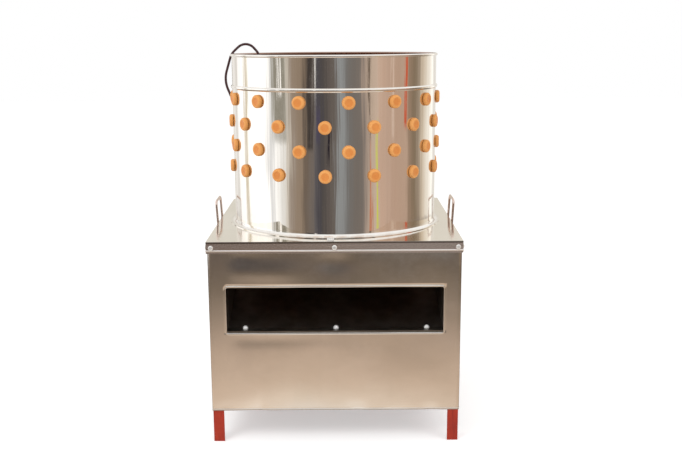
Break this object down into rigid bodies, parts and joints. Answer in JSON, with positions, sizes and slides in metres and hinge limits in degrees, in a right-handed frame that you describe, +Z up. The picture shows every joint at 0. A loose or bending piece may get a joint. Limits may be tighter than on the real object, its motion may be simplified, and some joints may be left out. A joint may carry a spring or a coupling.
{
  "type": "poultry plucker",
  "caption": "Open drum with rubber fingers on a sheet metal cabinet with a feather outlet, legs, side handles, a motor-driven finger plate and a power cord.",
  "frame": {"origin": "on the floor at the centre of the footprint", "axes": "+Z up, the feather outlet faces -Y, +X to the right seen from the front"},
  "size_m": [0.5986, 0.7191, 0.9134],
  "materials": {
    "drum_steel": "polished, streaked along the height",
    "cabinet_steel": "satin, warm tint",
    "deck_steel": "pale satin",
    "chute_steel": "satin",
    "finger_rubber": "satin",
    "fasteners": "bright",
    "zinc": "zinc plated",
    "red_oxide": "satin paint",
    "ground_steel": "ground",
    "machined": "machined",
    "cast_paint": "painted casting",
    "pulley_iron": "bare casting, oiled",
    "belt_rubber": "matt",
    "winding": "varnished",
    "core_steel": "laminated",
    "black_plastic": "matt",
    "fan_plastic": "matt",
    "start_green": "gloss",
    "stop_red": "gloss",
    "cord_jacket": "satin",
    "tie_plastic": "gloss"
  },
  "bodies": {
    "frame": {"drum_shell": "drum_steel", "wall_fingers_row_1": "finger_rubber", "wall_fingers_row_2": "finger_rubber", "wall_fingers_row_3": "finger_rubber", "wall_fingers_row_4": "finger_rubber", "drum_hold_downs": "fasteners", "deck_plate": "deck_steel", "deck_screws": "fasteners", "front_panel": "cabinet_steel", "rear_panel": "cabinet_steel", "left_panel": "cabinet_steel", "right_panel": "cabinet_steel", "feather_chute": "chute_steel", "chute_bolts": "fasteners", "handle_left": "deck_steel", "handle_right": "deck_steel", "frame_legs": "red_oxide", "frame_top_rails": "red_oxide", "frame_mid_rails": "red_oxide", "frame_bottom_rails": "red_oxide", "bearing_plates": "red_oxide", "bearing_housings": "cast_paint", "bearing_bolts": "zinc", "bearing_outer_rings": "ground_steel", "drive_belt": "belt_rubber", "motor_housing": "cast_paint", "motor_end_shields": "cast_paint", "motor_bearings": "ground_steel", "stator_core": "winding", "fan_cowl": "cast_paint", "terminal_box": "black_plastic", "capacitor": "black_plastic", "motor_bracket": "red_oxide", "motor_bolts": "zinc", "switch_housing": "black_plastic", "inner_cables": "cord_jacket", "cord_gland": "black_plastic", "cord_tail": "cord_jacket", "cord_coil": "cord_jacket", "coil_tie": "tie_plastic", "cord_rise": "cord_jacket", "plug": "black_plastic"},
    "turntable": {"turntable_plate": "drum_steel", "main_shaft": "ground_steel", "water_slinger": "chute_steel", "turntable_hub": "machined", "hub_bolts": "fasteners", "plate_fingers": "finger_rubber", "centre_cap": "drum_steel", "driven_pulley": "pulley_iron", "bearing_inner_rings": "ground_steel"},
    "motor_rotor": {"motor_shaft": "ground_steel", "motor_pulley": "pulley_iron", "rotor_core": "core_steel", "motor_fan": "fan_plastic"},
    "ball_cages": {"bearing_balls": "ground_steel"},
    "start_button": {"start_button": "start_green"},
    "stop_button": {"stop_button": "stop_red"}
  },
  "joints": [
    {"name": "plate_spin", "type": "hinge", "parent": "frame", "child": "turntable", "pos_m": [0, 0, 0.4865], "axis": [0, 0, 1], "continuous": true},
    {"name": "motor_spin", "type": "hinge", "parent": "frame", "child": "motor_rotor", "pos_m": [0, 0.17, 0.163], "axis": [0, 0, 1], "continuous": true},
    {"name": "ball_spin", "type": "hinge", "parent": "frame", "child": "ball_cages", "pos_m": [0, 0, 0.128], "axis": [0, 0, 1], "continuous": true},
    {"name": "start_button_press", "type": "slide", "parent": "frame", "child": "start_button", "axis": [-1, 0, 0], "range_m": [0, 0.003], "stiffness_N_per_m": 400, "springref_m": -0.002},
    {"name": "stop_button_press", "type": "slide", "parent": "frame", "child": "stop_button", "axis": [-1, 0, 0], "range_m": [0, 0.003], "stiffness_N_per_m": 400, "springref_m": -0.002}
  ],
  "couplings": [
    {"joint": "motor_spin", "follows": "plate_spin", "ratio": 4},
    {"joint": "ball_spin", "follows": "plate_spin", "ratio": 0.3969}
  ]
}
